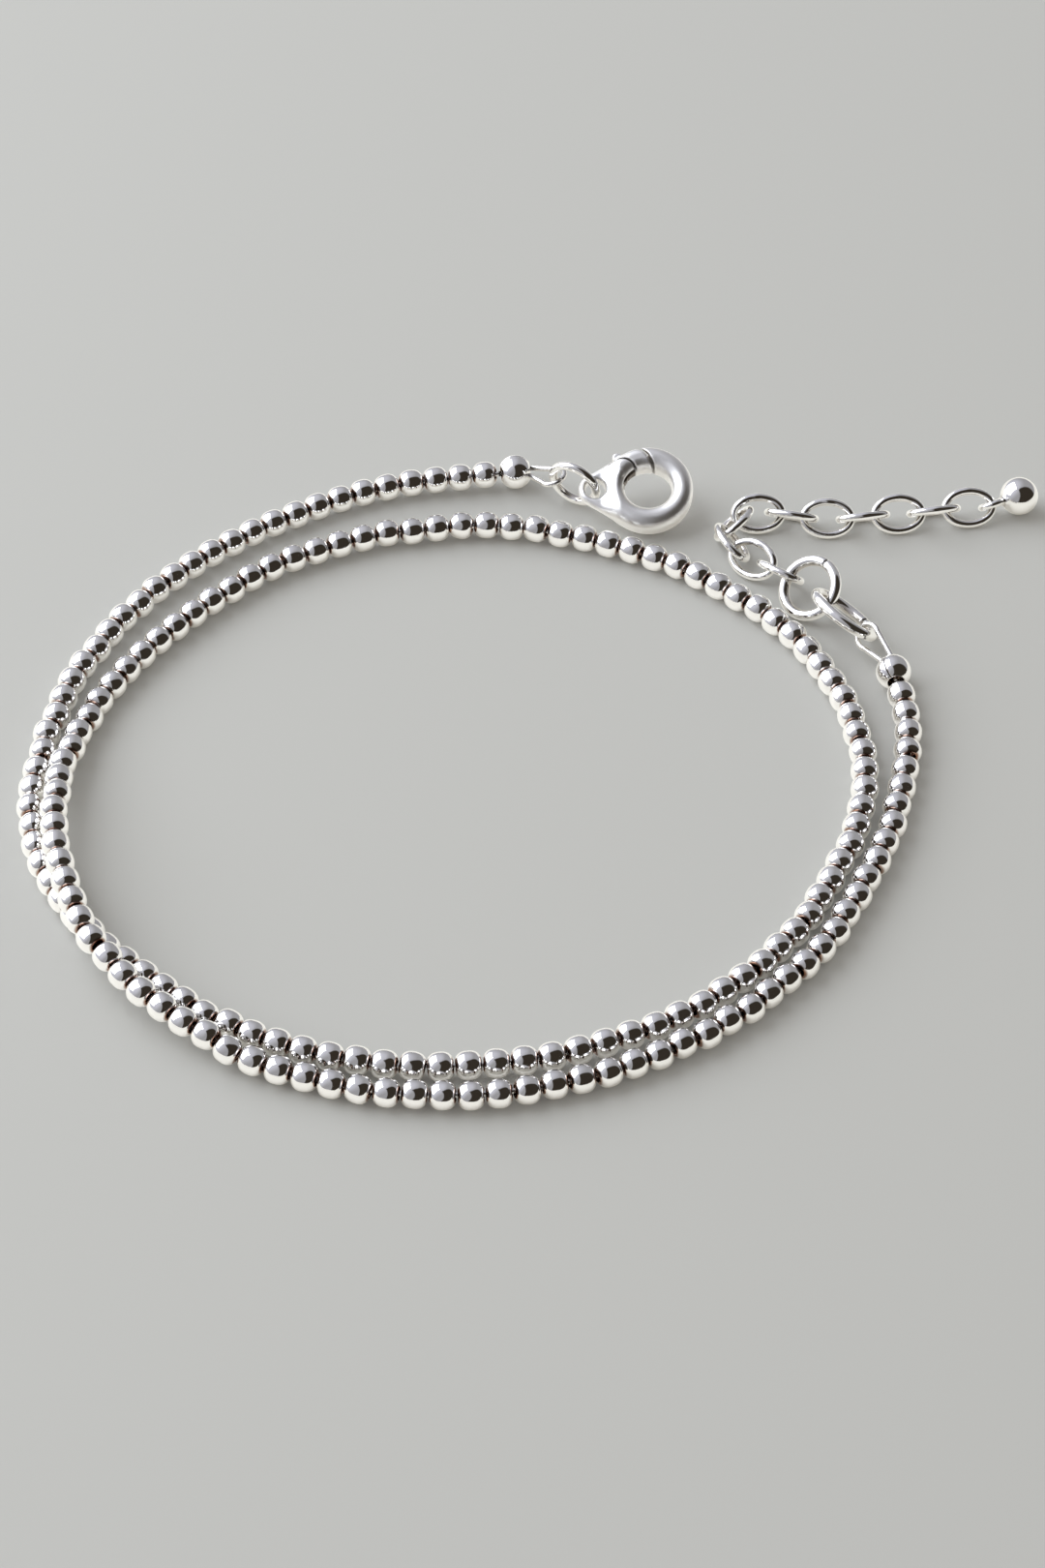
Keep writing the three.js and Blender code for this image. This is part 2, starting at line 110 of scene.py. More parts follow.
def string_line():
    """Close points along the string, on a smooth curve through the points of its route."""
    bearing, radius, lift = np.array(STRING_ROUTE).T
    angle = np.radians(bearing)
    points = np.stack([radius * np.cos(angle), radius * np.sin(angle), STRING_HEIGHT + lift], axis=1)
    points = np.vstack([2 * points[0] - points[1], points, 2 * points[-1] - points[-2]])
    share = np.linspace(0, 1, CURVE_SAMPLES, endpoint=False)[:, None]
    line = []
    for before, start, end, after in zip(points, points[1:], points[2:], points[3:]):
        step_in, step, step_out = (
            math.sqrt(np.linalg.norm(b - a)) for a, b in ((before, start), (start, end), (end, after))
        )
        leave = (start - before) / step_in - (end - before) / (step_in + step) + (end - start) / step
        arrive = (end - start) / step - (after - start) / (step + step_out) + (after - end) / step_out
        leave, arrive = leave * step, arrive * step
        square = 3 * (end - start) - 2 * leave - arrive
        cube = 2 * (start - end) + leave + arrive
        line.append(start + leave * share + square * share**2 + cube * share**3)
    line.append(points[-2:-1])
    return np.vstack(line) + LOOP_CENTRE


string_points = string_line()
string_steps = np.linalg.norm(np.diff(string_points, axis=0), axis=1)
string_lengths = np.concatenate([[0], np.cumsum(string_steps)])
string_length = string_lengths[-1]
bead_count = round((string_length - 2 * COVER_TO_BEAD) / BEAD_PITCH) + 1
bead_pitch = (string_length - 2 * COVER_TO_BEAD) / (bead_count - 1)


def string_at(distance):
    """Middle of the string at a distance from its chain end, with its own along, side and up directions."""
    near = np.clip(distance + TANGENT_STEP * np.array((0, -1, 1)), 0, string_length)
    centre, before, after = (
        np.array([np.interp(d, string_lengths, string_points[:, axis]) for axis in range(3)]) for d in near
    )
    along = after - before
    if centre[2] <= STRING_HEIGHT + FLAT_WITHIN:
        centre[2] = STRING_HEIGHT
        along[2] = 0
    along = unit(along)
    side = unit(np.cross(UP, along))
    return centre, np.array((along, side, np.cross(along, side)))


def turned(profile, segments):
    """Body of revolution about the first axis, of a closed profile given as places along and radii."""
    along, radius = np.array(profile).T
    angle = np.linspace(0, 2 * math.pi, segments, endpoint=False)
    rows = [
        np.stack([np.full(segments, a), r * np.cos(angle), r * np.sin(angle)], axis=1)
        for a, r in zip(along, radius)
    ]
    row, column = np.meshgrid(np.arange(len(profile)), np.arange(segments), indexing="ij")
    next_row, next_column = (row + 1) % len(profile), (column + 1) % segments
    corners = [(row, column), (row, next_column), (next_row, next_column), (next_row, column)]
    faces = np.stack([(r * segments + c).ravel() for r, c in corners], axis=1)
    return np.vstack(rows), faces


def drilled_profile(radius, end, end_radius, fullness, rim, steps):
    """Closed profile of a drilled ball: its outside from end to end, then the rims and the hole. A fullness
    of 2 gives an ellipse, and more gives fuller sides."""
    half_length = end / (1 - (end_radius / radius) ** fullness) ** (1 / fullness)
    edge = math.asin((end_radius / radius) ** (fullness / 2))
    angles = np.linspace(edge, math.pi - edge, steps + 1)
    cosine, sine = np.cos(angles), np.sin(angles)
    along = -half_length * np.sign(cosine) * np.abs(cosine) ** (2 / fullness)
    outside = list(zip(along, radius * sine ** (2 / fullness)))
    inside = list(rim) + [(-a, r) for a, r in reversed(rim)]
    return outside + inside


def add_node(tree, kind, settings=None, inputs=None):
    """New shader node, with its settings, and its inputs given as values or as sockets to link."""
    node = tree.nodes.new(kind)
    for name, value in (settings or {}).items():
        setattr(node, name, value)
    for name, value in (inputs or {}).items():
        if isinstance(value, bpy.types.NodeSocket):
            tree.links.new(value, node.inputs[name])
        else:
            node.inputs[name].default_value = value
    return node


def new_group(name, inputs, outputs):
    """Empty shader node group with named sockets, and its input and output nodes."""
    group = bpy.data.node_groups.new(name, "ShaderNodeTree")
    for socket_name, (kind, value) in inputs.items():
        socket = group.interface.new_socket(name=socket_name, in_out="INPUT", socket_type=kind)
        socket.default_value = value
    for socket_name, kind in outputs.items():
        group.interface.new_socket(name=socket_name, in_out="OUTPUT", socket_type=kind)
    return group, group.nodes.new("NodeGroupInput").outputs, group.nodes.new("NodeGroupOutput").inputs


def mixed(tree, share, first, second):
    """Colour from a first one, where the share is 0, to a second, where it is 1. The mix node has sockets
    of the same names for other kinds of value, so those for colours go by number."""
    mix = add_node(tree, "ShaderNodeMix", {"data_type": "RGBA"}, {0: share, 6: first, 7: second})
    return mix.outputs[2]


# Scratches: the turn and stretch of their grain, the part of the noise that dulls the gloss, and their
# height against the buff's waves. Tarnishing and painted shade: the scale of their patches, how ragged
# their edge is, and where they set in.
SCRATCH_TURN = (0.4, 0.7, 0.5)
SCRATCH_STRETCH = (1.0, 0.12, 1.0)
SCRATCH_RANGE = (0.4, 0.75)
SCRATCH_HEIGHT = 0.12
TARNISH_AND_SHADE_SCALE = 1800.0
TARNISH_AND_SHADE_RAGGEDNESS = 0.5
TARNISH_AND_SHADE_RANGE = (0.55, 1.35)


def polish_group():
    """Hand-polished metal: soft waves from the buff, and fine scratches that dull the gloss in places."""
    group, given, result = new_group(
        "hand polish",
        {
            "Wave Scale": ("NodeSocketFloat", 700.0),
            "Scratch Scale": ("NodeSocketFloat", 9000.0),
            "Brightest": ("NodeSocketFloat", 0.04),
            "Dullest": ("NodeSocketFloat", 0.14),
        },
        {"Roughness": "NodeSocketFloat", "Height": "NodeSocketFloat"},
    )
    place = group.nodes.new("ShaderNodeTexCoord").outputs["Object"]
    wave = add_node(
        group, "ShaderNodeTexNoise", inputs={"Vector": place, "Scale": given["Wave Scale"], "Detail": 1.0}
    )
    stretched = add_node(
        group,
        "ShaderNodeMapping",
        inputs={"Vector": place, "Rotation": SCRATCH_TURN, "Scale": SCRATCH_STRETCH},
    )
    scratch = add_node(
        group,
        "ShaderNodeTexNoise",
        inputs={"Vector": stretched.outputs["Vector"], "Scale": given["Scratch Scale"], "Detail": 3.0},
    )
    gloss = add_node(
        group,
        "ShaderNodeMapRange",
        inputs={
            "Value": scratch.outputs["Fac"],
            "From Min": SCRATCH_RANGE[0],
            "From Max": SCRATCH_RANGE[1],
            "To Min": given["Brightest"],
            "To Max": given["Dullest"],
        },
    )
    height = add_node(
        group,
        "ShaderNodeMath",
        {"operation": "MULTIPLY_ADD"},
        {0: scratch.outputs["Fac"], 1: SCRATCH_HEIGHT, 2: wave.outputs["Fac"]},
    )
    group.links.new(gloss.outputs["Result"], result["Roughness"])
    group.links.new(height.outputs["Value"], result["Height"])
    return group


def tarnish_and_shade_group():
    """Brown-grey tarnishing, and painted shade with it, that gathers where the polishing cloth doesn't
    reach, with a ragged edge.
    """
    group, given, result = new_group(
        "tarnish_and_shade_nodes",
        {
            "Clean": ("NodeSocketColor", (1, 1, 1, 1)),
            "Tarnish And Shade": ("NodeSocketColor", (0, 0, 0, 1)),
            "Tucked": ("NodeSocketFloat", 0.0),
        },
        {"Colour": "NodeSocketColor"},
    )
    place = group.nodes.new("ShaderNodeTexCoord").outputs["Object"]
    patches = add_node(
        group, "ShaderNodeTexNoise", inputs={"Vector": place, "Scale": TARNISH_AND_SHADE_SCALE, "Detail": 3.0}
    )
    ragged = add_node(
        group,
        "ShaderNodeMath",
        {"operation": "MULTIPLY_ADD"},
        {0: patches.outputs["Fac"], 1: TARNISH_AND_SHADE_RAGGEDNESS, 2: given["Tucked"]},
    )
    mask = add_node(
        group,
        "ShaderNodeMapRange",
        {"interpolation_type": "SMOOTHSTEP"},
        {
            "Value": ragged.outputs["Value"],
            "From Min": TARNISH_AND_SHADE_RANGE[0],
            "From Max": TARNISH_AND_SHADE_RANGE[1],
        },
    )
    colour = mixed(group, mask.outputs["Result"], given["Clean"], given["Tarnish And Shade"])
    group.links.new(colour, result["Colour"])
    return group


hand_polish = polish_group()
# One dark colour stands for tarnishing and, between the beads, for painted shade.
tarnish_and_shade_nodes = tarnish_and_shade_group()


def silver(name, clean, tarnish_and_shade_colour, brightest, dullest, wave_scale, bump_depth):
    """Polished silver. Its mesh attribute "tucked" is 1 where cloth and buff can't reach, 0 in the open,
    and there darkens it with tarnishing and painted shade.
    """
    material = bpy.data.materials.new(name)
    material.use_nodes = True
    tree = material.node_tree
    shader = tree.nodes["Principled BSDF"]
    shader.inputs["Metallic"].default_value = 1.0
    tucked = add_node(tree, "ShaderNodeAttribute", {"attribute_name": "tucked"})
    colour = add_node(
        tree,
        "ShaderNodeGroup",
        {"node_tree": tarnish_and_shade_nodes},
        {"Clean": (*clean, 1), "Tarnish And Shade": (*tarnish_and_shade_colour, 1), "Tucked": tucked.outputs["Fac"]},
    )
    polish = add_node(
        tree,
        "ShaderNodeGroup",
        {"node_tree": hand_polish},
        {"Wave Scale": wave_scale, "Brightest": brightest, "Dullest": dullest},
    )
    bump = add_node(
        tree,
        "ShaderNodeBump",
        inputs={"Strength": 1.0, "Distance": bump_depth * MM, "Height": polish.outputs["Height"]},
    )
    tree.links.new(colour.outputs["Colour"], shader.inputs["Base Color"])
    tree.links.new(polish.outputs["Roughness"], shader.inputs["Roughness"])
    tree.links.new(bump.outputs["Normal"], shader.inputs["Normal"])
    return material


def add_piece(name, vertices, faces, tucked, material, body="bracelet", node=None):
    """Smooth mesh of vertices in millimetres and lists of corners, with its finish, that rides on a body
    and stands for a CAD node."""
    mesh = bpy.data.meshes.new(name)
    mesh.from_pydata((vertices * MM).tolist(), [], faces)
    mesh.shade_smooth()
    mesh.attributes.new("tucked", "FLOAT", "POINT").data.foreach_set("value", tucked.astype(np.float32))
    mesh.materials.append(material)
    piece = bpy.data.objects.new(name, mesh)
    bpy.context.scene.collection.objects.link(piece)
    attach(piece, body)
    if node:
        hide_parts(node)
    return piece


# The brown at the bead ends and in the hole is tarnishing, and painted shade where the beads meet.
bead_silver = silver(
    "bead silver",
    clean=(0.95, 0.935, 0.91),
    tarnish_and_shade_colour=(0.26, 0.14, 0.09),
    brightest=0.03,
    dullest=0.09,
    wave_scale=520,
    bump_depth=0.012,
)
chance = np.random.default_rng(BEAD_SEED)


def thread_beads(name, node, first, last):
    """One half of the string: copies of one turned bead, from the first to the last, in one mesh."""
    profile = drilled_profile(
        BEAD_RADIUS, BEAD_END, BEAD_END_RADIUS, BEAD_FULLNESS, BEAD_RIM, BEAD_ARC_STEPS
    )
    bead, bead_faces = turned(profile, BEAD_SEGMENTS)
    from_axis = np.hypot(bead[:, 1], bead[:, 2])
    # Each bead darkens towards its ends and in its hole: tarnishing, and painted shade where it meets its
    # neighbours.
    to_end = np.clip((np.abs(bead[:, 0]) - END_DARKENING_START) / (BEAD_END - END_DARKENING_START), 0, 1)
    bead_tucked = np.maximum(to_end, from_axis < HOLE_RADIUS + HOLE_EDGE)
    vertices, faces = [], []
    for i in range(first, last + 1):
        centre, (along, side, up) = string_at(COVER_TO_BEAD + i * bead_pitch)
        tilt_side, tilt_up, shift_side, shift_up, swell = chance.normal(size=5)
        axis = unit(along + BEAD_TILT * (tilt_side * side + tilt_up * up))
        level = unit(np.cross(up, axis))
        size = 1 + BEAD_SPREAD * np.clip(swell, *BEAD_SPREAD_LIMITS)
        shift_side = np.clip(shift_side, -BEAD_SHIFT_LIMIT, BEAD_SHIFT_LIMIT)
        place = centre + BEAD_SHIFT * shift_side * side + BEAD_LIFT * abs(shift_up) * up
        faces.append(bead_faces + len(vertices) * len(bead))
        vertices.append(place + size * bead @ np.array((axis, level, np.cross(axis, level))))
    tucked = np.tile(bead_tucked, len(vertices))
    faces = np.vstack(faces).tolist()
    add_piece(name, np.vstack(vertices), faces, tucked, bead_silver, node=node)


middle_bead = bead_count // 2
thread_beads("beads_chain_half", "bead_string_chain_half", 0, middle_bead - 1)
thread_beads("beads_clasp_half", "bead_string_clasp_half", middle_bead, bead_count - 1)

# The beading wire. Fine steel strands in a clear coat carry the beads. The wire shows only as a thread in
# the gaps between them and where it runs into the crimp covers.
WIRE_RADIUS = 0.2
WIRE_SIDES = 16
WIRE_STEP = 0.23
WIRE_START = 0.9
WIRE_TARNISH = 0.35
NEARLY_UPRIGHT = 0.9
SIDEWAYS = np.array((1.0, 0.0, 0.0))


def swept(points, radius, sides, closed=False):
    """Round bar along a line of points: the point of the line that each vertex goes with, the vertex's
    offset from it, and the faces."""
    points = np.asarray(points, float)
    radius = np.broadcast_to(radius, len(points))
    if closed:
        tangents = np.roll(points, -1, axis=0) - np.roll(points, 1, axis=0)
    else:
        tangents = np.gradient(points, axis=0)
    tangents /= np.linalg.norm(tangents, axis=1)[:, None]
    side = unit(np.cross(tangents[0], UP if abs(tangents[0] @ UP) < NEARLY_UPRIGHT else SIDEWAYS))
    angle = np.linspace(0, 2 * math.pi, sides, endpoint=False)
    offsets = []
    for tangent, r in zip(tangents, radius):
        side = unit(side - tangent * (side @ tangent))
        rise = np.cross(tangent, side)
        offsets.append(r * (np.outer(np.cos(angle), side) + np.outer(np.sin(angle), rise)))
    row, column = np.meshgrid(np.arange(len(points)), np.arange(sides), indexing="ij")
    if not closed:
        row, column = row[:-1], column[:-1]
    next_row, next_column = (row + 1) % len(points), (column + 1) % sides
    corners = [(row, column), (row, next_column), (next_row, next_column), (next_row, column)]
    faces = np.stack([(r * sides + c).ravel() for r, c in corners], axis=1).tolist()
    if not closed:
        faces.append(list(reversed(range(sides))))
        faces.append(list(range((len(points) - 1) * sides, len(points) * sides)))
    return np.repeat(points, sides, axis=0), np.vstack(offsets), faces


wire_steel = silver(
    "beading wire",
    clean=(0.78, 0.76, 0.73),
    tarnish_and_shade_colour=(0.3, 0.26, 0.22),
    brightest=0.18,
    dullest=0.32,
    wave_scale=1500,
    bump_depth=0.006,
)


def lay_wire(name, start, end):
    """Wire through the beads, between two distances along the string."""
    points = [string_at(distance)[0] for distance in np.arange(start, end, WIRE_STEP)]
    middles, offsets, faces = swept(points, WIRE_RADIUS, WIRE_SIDES)
    tucked = np.full(len(middles), WIRE_TARNISH)
    add_piece(name, middles + offsets, faces, tucked, wire_steel)


string_middle = COVER_TO_BEAD + (middle_bead - 0.5) * bead_pitch
lay_wire("wire_chain_half", WIRE_START, string_middle)
lay_wire("wire_clasp_half", string_middle, string_length - WIRE_START)

# The crimp covers. Each is a small hollow silver ball, pressed from sheet as an open shell and closed with
# pliers over the crushed crimp, so that a seam runs down it from hole to hole.
COVER_RADIUS = 1.25
COVER_END = 1.05
COVER_END_RADIUS = 0.68
COVER_FULLNESS = 2.0
COVER_HOLE = 0.56
COVER_HOLE_EDGE = 0.05
COVER_RIM = ((1.07, 0.64), (1.04, 0.59), (0.98, COVER_HOLE))
COVER_ARC_STEPS = 26
COVER_SEGMENTS = 180
SEAM_DEPTH = 0.09
SEAM_WIDTH = 0.045
LIP_HEIGHT = 0.012
LIP_WIDTH = 2 * SEAM_WIDTH
LIP_OFFSET = 3 * SEAM_WIDTH

cover_silver = silver(
    "cover silver",
    clean=(0.96, 0.945, 0.92),
    tarnish_and_shade_colour=(0.16, 0.12, 0.09),
    brightest=0.04,
    dullest=0.11,
    wave_scale=420,
    bump_depth=0.02,
)


def close_cover(name, node, distance, seam_angle):
    """Ball closed over the crimp at a distance along the string, with its seam at an angle round it."""
    profile = drilled_profile(
        COVER_RADIUS, COVER_END, COVER_END_RADIUS, COVER_FULLNESS, COVER_RIM, COVER_ARC_STEPS
    )
    ball, faces = turned(profile, COVER_SEGMENTS)
    angle = np.arctan2(ball[:, 2], ball[:, 1])
    from_seam = np.abs((angle - seam_angle + math.pi) % (2 * math.pi) - math.pi)
    across = from_seam * np.hypot(ball[:, 1], ball[:, 2])
    groove = np.exp(-((across / SEAM_WIDTH) ** 2))
    lips = np.exp(-(((across - LIP_OFFSET) / LIP_WIDTH) ** 2))
    ball[:, 1:] *= (1 - (SEAM_DEPTH * groove - LIP_HEIGHT * lips) / COVER_RADIUS)[:, None]
    centre, directions = string_at(distance)
    centre[2] = COVER_RADIUS
    inside_hole = np.hypot(ball[:, 1], ball[:, 2]) < COVER_HOLE + COVER_HOLE_EDGE
    tucked = np.maximum(groove, inside_hole)
    placed = centre + ball @ directions
    add_piece(name, placed, faces.tolist(), tucked, cover_silver, node=node)
    return centre


chain_cover_centre = close_cover("cover_chain", "crimp_cover_chain", 0, seam_angle=math.radians(125))
clasp_cover_centre = close_cover(
    "cover_clasp", "crimp_cover_clasp", string_length, seam_angle=math.radians(70)
)

# The wire loops. Beyond each cover the beading wire turns back on itself in a small eye, and both its legs
# go back into the cover.
LOOP_WIRE = 0.2
LOOP_EYE_ANGLE = math.radians(118)
LOOP_EYE_STEPS = 40
LOOP_LEG_STEPS = 12
LOOP_LEG_APART = 0.21
LOOP_LEG_EXTRA = 0.35
LOOP_TARNISH = 0.25


def lie_of(node):
    """How a CAD node lies: the middle of its box along its own longest, second and shortest directions,
    those directions, and its size along them."""
    points = np.array([v.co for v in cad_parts[node].data.vertices]) / MM
    directions = np.linalg.eigh(np.cov(points.T))[1].T[::-1]
    measured = points @ directions.T
    low, high = measured.min(axis=0), measured.max(axis=0)
    return (low + high) / 2 @ directions, directions, high - low


def bend_loop(name, node, cover_centre):
    """Wire bent into an eye where its CAD node lies, with both legs running into the cover."""
    centre, (along, across, _), (length, width, _) = lie_of(node)
    if (centre - cover_centre) @ along < 0:
        along = -along
    eye_radius = width / 2 - LOOP_WIRE
    eye_middle = length / 2 - width / 2
    angle = np.linspace(-LOOP_EYE_ANGLE, LOOP_EYE_ANGLE, LOOP_EYE_STEPS)
    eye = np.stack([eye_middle + eye_radius * np.cos(angle), eye_radius * np.sin(angle)], axis=1)
    share = np.linspace(0, 1, LOOP_LEG_STEPS, endpoint=False)[:, None]
    leg_start = np.array((-length / 2 - LOOP_LEG_EXTRA, -LOOP_LEG_APART))
    leg_in = leg_start + (eye[0] - leg_start) * share
    leg_out = (leg_in * (1, -1))[::-1]
    flat = np.vstack([leg_in, eye, leg_out])
    points = centre + np.outer(flat[:, 0], along) + np.outer(flat[:, 1], across)
    middles, offsets, faces = swept(points, LOOP_WIRE, WIRE_SIDES)
    tucked = np.full(len(middles), LOOP_TARNISH)
    add_piece(name, middles + offsets, faces, tucked, wire_steel, node=node)


bend_loop("loop_chain", "wire_loop_chain", chain_cover_centre)
bend_loop("loop_clasp", "wire_loop_clasp", clasp_cover_centre)

# The jump rings. Round silver wire is wound on a rod and sawn into rings. Each is twisted open, hung in its
# neighbours and closed again, so that a hair-fine cut shows where its ends meet.
RING_SIDES = 20
RING_STEPS = 120
RING_CUT_GAP = 0.05
RING_CUT_CHAMFER = 0.9
INNER_TARNISH = 0.7
# Each ring: its piece, its CAD node, the thickness of its wire and the angle of its cut in degrees.
JUMP_RINGS = (
    ("ring_clasp", "jump_ring_clasp", 0.65, 150),
    ("ring_chain_1", "jump_ring_chain_1", 0.8, 75),
    ("ring_chain_2", "jump_ring_chain_2", 0.8, 100),
)

chain_silver = silver(
    "chain silver",
    clean=(0.94, 0.925, 0.895),
    tarnish_and_shade_colour=(0.3, 0.24, 0.18),
    brightest=0.06,
    dullest=0.16,
    wave_scale=900,
    bump_depth=0.012,
)


def inner_side(middles, offsets, centre):
    """How far round to the inside of its ring each vertex of the wire is, from 0 to 1."""
    outward = middles - centre
    outward /= np.linalg.norm(outward, axis=1)[:, None]
    turn = np.sum(offsets * outward, axis=1) / np.linalg.norm(offsets, axis=1)
    return np.clip(-turn, 0, 1)


def add_wire_ring(name, node, centre, points, radius, closed):
    """Ring of wire along a line of points, with tarnishing on its inner side."""
    middles, offsets, faces = swept(points, radius, RING_SIDES, closed)
    tucked = INNER_TARNISH * inner_side(middles, offsets, centre)
    add_piece(name, middles + offsets, faces, tucked, chain_silver, node=node)


def oval_of(node, wire):
    """Middle line of a wire ring where its CAD node lies: its centre, and its long and short half axes."""
    centre, (along, across, _), (length, width, _) = lie_of(node)
    return centre, along * (length - wire) / 2, across * (width - wire) / 2


def oval_points(centre, half_long, half_short, angle):
    """Points of an oval at angles from its long half axis."""
    return centre + np.outer(np.cos(angle), half_long) + np.outer(np.sin(angle), half_short)


def close_ring(name, node, wire, cut_angle):
    """Open ring of wire where its CAD node lies, with its cut at an angle from its longest direction."""
    centre, half_long, half_short = oval_of(node, wire)
    half_cut = RING_CUT_GAP / 2 / np.linalg.norm(half_short)
    angle = np.linspace(cut_angle + half_cut, cut_angle + 2 * math.pi - half_cut, RING_STEPS)
    radius = np.full(RING_STEPS, wire / 2)
    radius[[0, -1]] *= RING_CUT_CHAMFER
    points = oval_points(centre, half_long, half_short, angle)
    add_wire_ring(name, node, centre, points, radius, closed=False)


for ring_name, ring_node, ring_wire, ring_cut in JUMP_RINGS:
    close_ring(ring_name, ring_node, ring_wire, math.radians(ring_cut))

# The extension chain. Oval cable links of silver wire, each bent round through the one before and soldered
# shut on one long side, so that any of them can take the clasp.
LINK_WIRE = 0.55
LINK_STEPS = 72
SOLDER_SWELL = 0.1
SOLDER_LENGTH = 0.3
LINK_COUNT = 11


def solder_link(name, node):
    """Closed oval link where its CAD node lies, a little thicker at its soldered joint."""
    centre, half_long, half_short = oval_of(node, LINK_WIRE)
    angle = np.linspace(0, 2 * math.pi, LINK_STEPS, endpoint=False)
    from_joint = np.linalg.norm(half_long) * np.cos(angle)
    on_joint_side = np.sin(angle) > 0
    swell = SOLDER_SWELL * np.exp(-((from_joint / SOLDER_LENGTH) ** 2)) * on_joint_side
    points = oval_points(centre, half_long, half_short, angle)
    add_wire_ring(name, node, centre, points, LINK_WIRE / 2 * (1 + swell), closed=True)


for number in range(1, LINK_COUNT + 1):
    solder_link(f"link_{number:02d}", f"chain_link_{number:02d}")

# The end ball. A hollow silver ball has a wire eye soldered on, and the solder flows out into a small
# fillet. The eye hangs in the last link, and the ball keeps the clasp from slipping off the chain.
BALL_RADIUS = 1.4
BALL_EYE_LENGTH = 2.1
BALL_EYE_WIRE = 0.5
BALL_EYE_SINK = 0.25
BALL_EYE_ROLL = math.radians(-45)
SOLDER_FILLET = 0.3
SOLDER_REACH = 0.2
SOLDER_TARNISH = 0.8
# The net that is drawn over a solid: the half width of its grid and its step, the corners of a cell, the
# net's rounds, the share of a step over which a slope is measured, and the least square of a slope.
BALL_GRID = 1.6
BALL_SKIN_STEP = 0.08
CELL_CORNERS = 8
SETTLING_ROUNDS = 6
DRAWING_ROUNDS = 3
SLOPE_SHARE = 0.01
LEAST_STEEPNESS = 0.1


def smooth_join(a, b, blend):
    """Distance to two solids run together, with a fillet where they meet."""
    share = np.maximum(blend - np.abs(a - b), 0) / blend
    return np.minimum(a, b) - share * share * blend / 4


def smooth_cut(a, b, blend):
    """Distance to what is in both solids, with its edge rounded over."""
    return -smooth_join(-a, -b, blend)


def skin_of(distance, low, high, step):
    """Mesh of the surface of a solid, given by the distance to it: a net of one point in each cell of a
    grid that the surface passes through, drawn onto the surface and evened out along it."""
    axes = [np.arange(a, b + step, step) for a, b in zip(low, high)]
    grid = np.stack(np.meshgrid(*axes, indexing="ij"), axis=-1)
    inside = distance(grid) < 0
    cells = np.array(inside.shape) - 1
    filled = sum(
        inside[i:i + cells[0], j:j + cells[1], k:k + cells[2]].astype(int)
        for i in (0, 1) for j in (0, 1) for k in (0, 1)
    )
    crossed = (filled > 0) & (filled < CELL_CORNERS)
    number = np.full(cells, -1)
    number[crossed] = np.arange(crossed.sum())
    points = (np.argwhere(crossed) + 0.5) * step + np.array(low)
    faces = []
    for axis in range(3):
        second, third = (axis + 1) % 3, (axis + 2) % 3
        ahead = np.roll(inside, -1, axis=axis)
        changes = np.argwhere(inside != ahead)
        has_cells = (changes[:, second] > 0) & (changes[:, third] > 0)
        changes = changes[has_cells & (changes[:, axis] < cells[axis])]
        back_second, back_third = np.eye(3, dtype=int)[[second, third]]
        ring = [changes, changes - back_second, changes - back_second - back_third, changes - back_third]
        quads = np.stack([number[tuple(cell.T)] for cell in ring], axis=1)
        leaving = inside[tuple(changes.T)]
        quads[~leaving] = quads[~leaving][:, ::-1]
        faces.append(quads)
    faces = np.vstack(faces)
    nudges = step * SLOPE_SHARE * np.eye(3)
    for settling in range(SETTLING_ROUNDS):
        for _ in range(DRAWING_ROUNDS):
            rises = [distance(points + nudge) - distance(points - nudge) for nudge in nudges]
            slope = np.stack(rises, axis=-1) / (2 * step * SLOPE_SHARE)
            steepness = np.maximum(np.sum(slope * slope, axis=1), LEAST_STEEPNESS)
            points = points - np.clip(distance(points) / steepness, -step, step)[:, None] * slope
        if settling < SETTLING_ROUNDS - 1:
            total, count = np.zeros_like(points), np.zeros(len(points))
            for here, there in ((0, 1), (1, 2), (2, 3), (3, 0), (1, 0), (2, 1), (3, 2), (0, 3)):
                np.add.at(total, faces[:, here], points[faces[:, there]])
                np.add.at(count, faces[:, here], 1)
            points = (points + total / np.maximum(count, 1)[:, None]) / 2
    return points, faces


def ball_distance(point):
    """Distance to the ball and its eye, which lies along -x from it."""
    x, y, z = np.moveaxis(point, -1, 0)
    ball = np.sqrt(x * x + y * y + z * z) - BALL_RADIUS
    eye_x = x + BALL_RADIUS + BALL_EYE_LENGTH / 2 - BALL_EYE_SINK
    round_eye = np.hypot(eye_x, y) - (BALL_EYE_LENGTH - BALL_EYE_WIRE) / 2
    eye = np.hypot(round_eye, z) - BALL_EYE_WIRE / 2
    return smooth_join(ball, eye, SOLDER_FILLET)


ball_silver = silver(
    "ball silver",
    clean=(0.95, 0.935, 0.905),
    tarnish_and_shade_colour=(0.25, 0.2, 0.15),
    brightest=0.04,
    dullest=0.12,
    wave_scale=400,
    bump_depth=0.02,
)
ball_middle, (ball_along, _, _), (ball_length, _, _) = lie_of("end_ball")
last_link_middle = lie_of(f"chain_link_{LINK_COUNT:02d}")[0]
if (ball_middle - last_link_middle) @ ball_along < 0:
    ball_along = -ball_along
ball_centre = ball_middle + ball_along * (ball_length / 2 - BALL_RADIUS)
ball_level = unit(np.cross(UP, ball_along))
ball_rise = np.cross(ball_along, ball_level)
ball_across = math.cos(BALL_EYE_ROLL) * ball_level + math.sin(BALL_EYE_ROLL) * ball_rise
ball_axes = np.array((ball_along, ball_across, np.cross(ball_along, ball_across)))
ball_points, ball_faces = skin_of(
    ball_distance,
    (-BALL_RADIUS - BALL_EYE_LENGTH, -BALL_GRID, -BALL_GRID),
    (BALL_GRID, BALL_GRID, BALL_GRID),
    BALL_SKIN_STEP,
)
